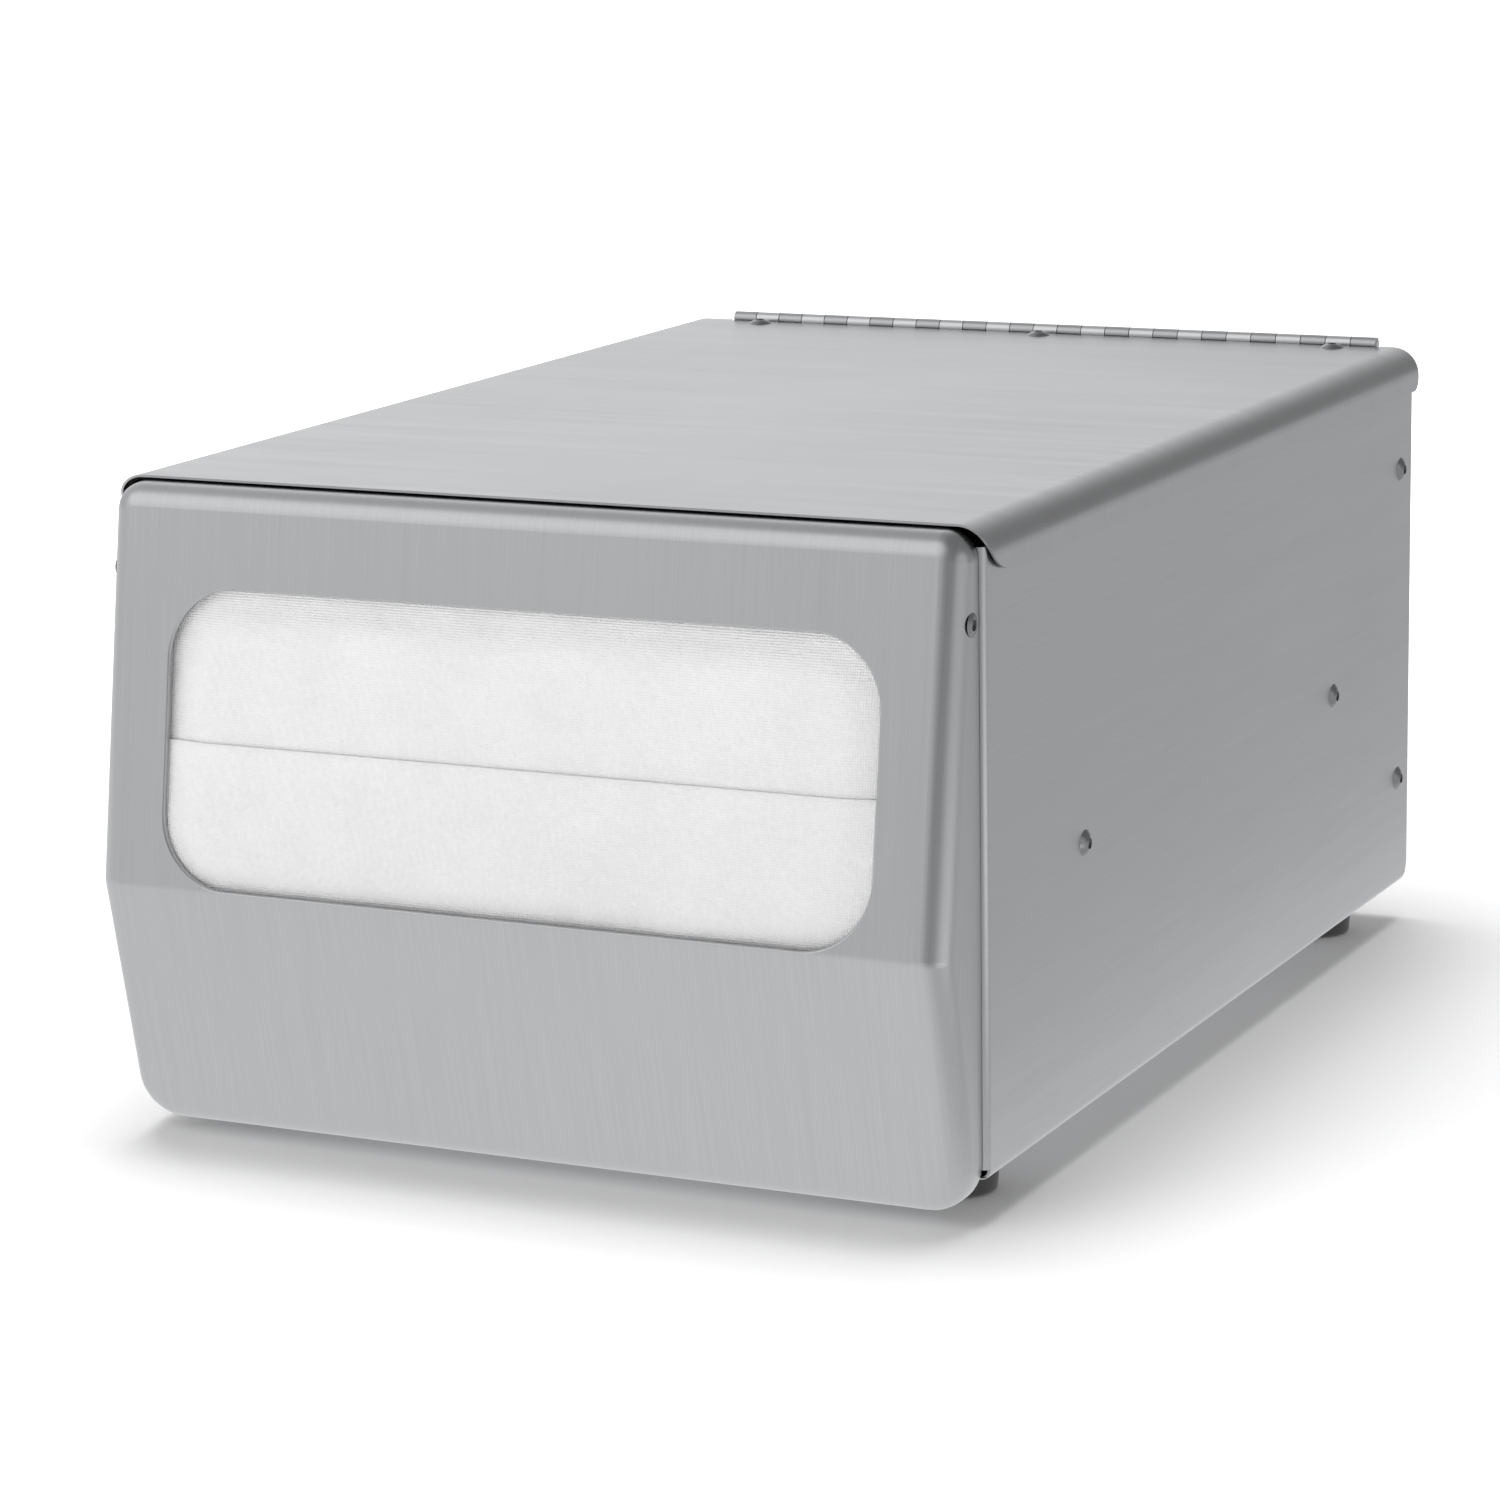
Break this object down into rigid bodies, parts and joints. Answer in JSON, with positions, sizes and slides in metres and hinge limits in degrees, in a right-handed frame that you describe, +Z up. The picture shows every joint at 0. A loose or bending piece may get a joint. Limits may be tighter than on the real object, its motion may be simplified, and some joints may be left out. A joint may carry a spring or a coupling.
{
  "type": "countertop napkin dispenser",
  "caption": "Low countertop napkin dispenser in brushed stainless steel: riveted box with a slanted windowed face, hinged lid, spring-fed pusher and rubber feet.",
  "frame": {"origin": "middle of the footprint, on the counter under the feet", "axes": "+X to the right of a person who faces the window, +Y from the window towards the hinge, +Z up"},
  "size_m": [0.1966, 0.2904, 0.1428],
  "materials": {
    "housing_steel": "brushed stainless sheet",
    "lid_steel": "brushed stainless sheet",
    "face_steel": "brushed stainless sheet",
    "pan_steel": "brushed stainless sheet",
    "hinge_steel": "mill finish stainless",
    "rivet_steel": "plain stainless rivets",
    "rail_steel": "mill finish stainless",
    "pusher_steel": "satin stainless sheet",
    "shoe_plastic": "black acetal",
    "spool_plastic": "natural acetal",
    "spring_steel": "blued spring steel",
    "foot_rubber": "matt rubber",
    "napkin_paper": "white embossed tissue"
  },
  "bodies": {
    "housing": {"body_shell": "housing_steel", "back_panel": "pan_steel", "faceplate": "face_steel", "hinge_leaf_body": "hinge_steel", "hinge_pin": "hinge_steel", "body_hinge_rivets": "rivet_steel", "rail_rivets": "rivet_steel", "back_panel_rivets": "rivet_steel", "faceplate_rivets": "rivet_steel", "guide_rail_left": "rail_steel", "guide_rail_right": "rail_steel", "spring_strip": "spring_steel", "strip_anchor_rivet": "rivet_steel", "napkin_stack": "napkin_paper", "front_napkin": "napkin_paper", "foot_front_left": "foot_rubber", "foot_front_right": "foot_rubber", "foot_rear_left": "foot_rubber", "foot_rear_right": "foot_rubber", "foot_rivets": "rivet_steel", "foot_washers": "rail_steel"},
    "lid_assembly": {"lid": "lid_steel", "hinge_leaf_lid": "hinge_steel", "lid_hinge_rivets": "rivet_steel"},
    "pusher": {"pusher_plate": "pusher_steel", "guide_shoe_left": "shoe_plastic", "guide_shoe_right": "shoe_plastic", "guide_shoe_rivets": "rivet_steel", "spring_bracket": "rail_steel", "spring_bracket_rivets": "rivet_steel", "spool_axle": "rail_steel", "axle_clips": "spring_steel"},
    "spool": {"spring_spool": "spool_plastic", "spring_coil": "spring_steel"}
  },
  "joints": [
    {"name": "lid_hinge", "type": "hinge", "parent": "housing", "child": "lid_assembly", "pos_m": [0, 0.14347, 0.1411], "axis": [-1, 0, 0], "range_deg": [0, 205]},
    {"name": "pusher_slide", "type": "slide", "parent": "housing", "child": "pusher", "axis": [0, -1, 0], "range_m": [-0.008, 0.215], "stiffness_N_per_m": 20, "deforming": ["napkin_stack", "spring_strip"]},
    {"name": "spool_spin", "type": "hinge", "parent": "pusher", "child": "spool", "pos_m": [0, 0.11647, 0.0226], "axis": [1, 0, 0], "range_deg": [-40, 1030]}
  ],
  "couplings": [
    {"joint": "spool_spin", "follows": "pusher_slide", "rad_per_m": 83.333}
  ]
}
